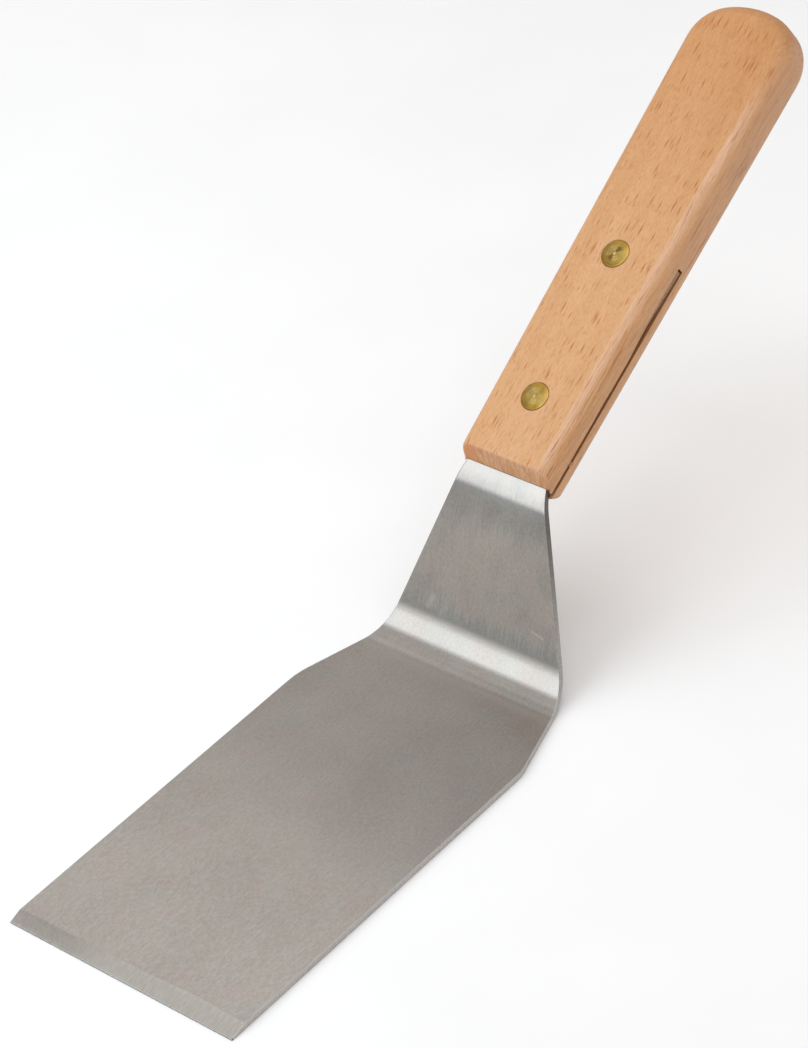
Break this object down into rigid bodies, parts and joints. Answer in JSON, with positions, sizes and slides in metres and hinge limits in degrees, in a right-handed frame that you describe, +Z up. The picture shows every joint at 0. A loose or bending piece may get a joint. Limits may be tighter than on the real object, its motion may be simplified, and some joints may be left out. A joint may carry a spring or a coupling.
{
  "type": "grill spatula",
  "caption": "Short grill turner: a wide flat blade, a tapered neck cranked up from it, and a wooden handle riveted over the tang.",
  "frame": {"origin": "on the blade's flat underside, on its centre line, midway along its full-width stretch", "axes": "+X from the front edge towards the handle, +Y across the blade to the left of someone looking along +X, +Z up, out of the blade's top face"},
  "size_m": [0.2794, 0.0762, 0.1172],
  "materials": {
    "steel": "satin, fine brushing along the blade, worn by use",
    "wood": "bare sanded beech, lightly oiled",
    "brass": "turned, slightly dulled"
  },
  "bodies": {
    "root": {"blade_neck_and_tang": "steel", "handle": "wood", "front_rivet_male": "brass", "front_rivet_female": "brass", "rear_rivet_male": "brass", "rear_rivet_female": "brass"}
  },
  "joints": []
}
